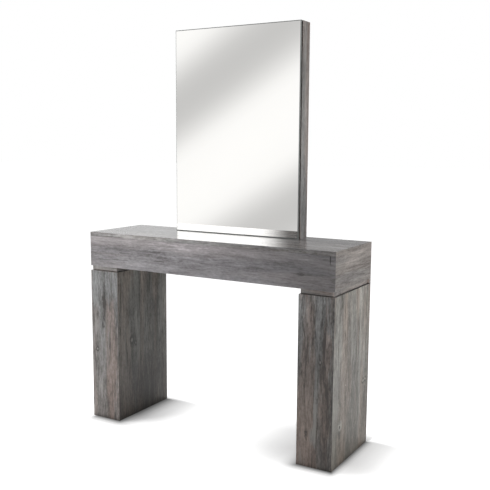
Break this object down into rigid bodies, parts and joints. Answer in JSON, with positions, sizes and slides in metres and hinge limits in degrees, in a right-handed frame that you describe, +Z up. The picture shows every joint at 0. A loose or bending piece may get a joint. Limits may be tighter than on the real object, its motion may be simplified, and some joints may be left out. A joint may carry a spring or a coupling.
{
  "type": "salon styling station",
  "caption": "Console table on two slab legs in grey oak laminate, with a frameless mirror on a shallow wooden box at its wall side and levelling feet.",
  "frame": {"origin": "on the floor, under the middle of the station's width and depth", "axes": "+Z up, +Y towards the wall, +X to the right as seen by a person who faces the mirror"},
  "size_m": [1.2, 0.364, 1.757],
  "materials": {
    "grey_oak": "weathered grey oak laminate, satin",
    "plain_board": "unfinished board",
    "beech_dowel": "fluted beech",
    "black_board": "black dyed fibreboard",
    "black_pad": "matt, brownish black",
    "foam_tape": "foam",
    "mirror_glass": "silvered, ground edge",
    "zinc_steel": "zinc plated",
    "cast_zinc": "cast",
    "foot_plastic": "moulded"
  },
  "bodies": {
    "station": {"worktop": "grey_oak", "box_left_end": "grey_oak", "box_right_end": "grey_oak", "box_front_apron": "grey_oak", "box_back_rail": "grey_oak", "box_left_rib": "grey_oak", "box_right_rib": "grey_oak", "left_leg_plate": "grey_oak", "right_leg_plate": "grey_oak", "left_spacer_board": "grey_oak", "right_spacer_board": "grey_oak", "left_joint_pad": "black_pad", "right_joint_pad": "black_pad", "left_leg_outer_side": "grey_oak", "left_leg_inner_side": "grey_oak", "left_leg_front": "grey_oak", "left_leg_back": "grey_oak", "left_leg_top": "grey_oak", "left_leg_base": "grey_oak", "right_leg_outer_side": "grey_oak", "right_leg_inner_side": "grey_oak", "right_leg_front": "grey_oak", "right_leg_back": "grey_oak", "right_leg_top": "grey_oak", "right_leg_base": "grey_oak", "mirror_glass": "mirror_glass", "mirror_tape": "foam_tape", "mirror_backing_board": "black_board", "mirror_left_side": "grey_oak", "mirror_right_side": "grey_oak", "mirror_top_board": "grey_oak", "mirror_bottom_board": "grey_oak", "mirror_stretcher": "plain_board", "mirror_back_panel": "plain_board", "mirror_cleat": "plain_board", "wall_cleat": "plain_board", "cleat_screws": "zinc_steel", "worktop_cam_pins": "cast_zinc", "worktop_cam_locks": "cast_zinc", "worktop_dowels": "beech_dowel", "carcass_dowels": "beech_dowel", "leg_bolts": "zinc_steel", "leg_bolt_washers": "zinc_steel", "leg_insert_nuts": "zinc_steel", "mirror_bolts": "zinc_steel", "mirror_bolt_washers": "zinc_steel", "mirror_insert_nuts": "zinc_steel", "foot_insert_nuts": "zinc_steel"},
    "front_left_pad": {"front_left_foot_pad": "foot_plastic"},
    "front_left_stem": {"front_left_foot_stem": "zinc_steel"},
    "front_right_pad": {"front_right_foot_pad": "foot_plastic"},
    "front_right_stem": {"front_right_foot_stem": "zinc_steel"},
    "back_left_pad": {"back_left_foot_pad": "foot_plastic"},
    "back_left_stem": {"back_left_foot_stem": "zinc_steel"},
    "back_right_pad": {"back_right_foot_pad": "foot_plastic"},
    "back_right_stem": {"back_right_foot_stem": "zinc_steel"}
  },
  "joints": [
    {"name": "front_left_foot_height", "type": "slide", "parent": "station", "child": "front_left_pad", "axis": [0, 0, -1], "range_m": [-0.003, 0.012]},
    {"name": "front_left_foot_screw", "type": "hinge", "parent": "front_left_pad", "child": "front_left_stem", "pos_m": [-0.524, -0.136, 0.009], "axis": [0, 0, -1], "range_deg": [-864, 3456]},
    {"name": "front_right_foot_height", "type": "slide", "parent": "station", "child": "front_right_pad", "axis": [0, 0, -1], "range_m": [-0.003, 0.012]},
    {"name": "front_right_foot_screw", "type": "hinge", "parent": "front_right_pad", "child": "front_right_stem", "pos_m": [0.524, -0.136, 0.009], "axis": [0, 0, -1], "range_deg": [-864, 3456]},
    {"name": "back_left_foot_height", "type": "slide", "parent": "station", "child": "back_left_pad", "axis": [0, 0, -1], "range_m": [-0.003, 0.012]},
    {"name": "back_left_foot_screw", "type": "hinge", "parent": "back_left_pad", "child": "back_left_stem", "pos_m": [-0.524, 0.136, 0.009], "axis": [0, 0, -1], "range_deg": [-864, 3456]},
    {"name": "back_right_foot_height", "type": "slide", "parent": "station", "child": "back_right_pad", "axis": [0, 0, -1], "range_m": [-0.003, 0.012]},
    {"name": "back_right_foot_screw", "type": "hinge", "parent": "back_right_pad", "child": "back_right_stem", "pos_m": [0.524, 0.136, 0.009], "axis": [0, 0, -1], "range_deg": [-864, 3456]}
  ],
  "couplings": [
    {"joint": "front_left_foot_screw", "follows": "front_left_foot_height", "rad_per_m": 5026.5},
    {"joint": "front_right_foot_screw", "follows": "front_right_foot_height", "rad_per_m": 5026.5},
    {"joint": "back_left_foot_screw", "follows": "back_left_foot_height", "rad_per_m": 5026.5},
    {"joint": "back_right_foot_screw", "follows": "back_right_foot_height", "rad_per_m": 5026.5}
  ]
}
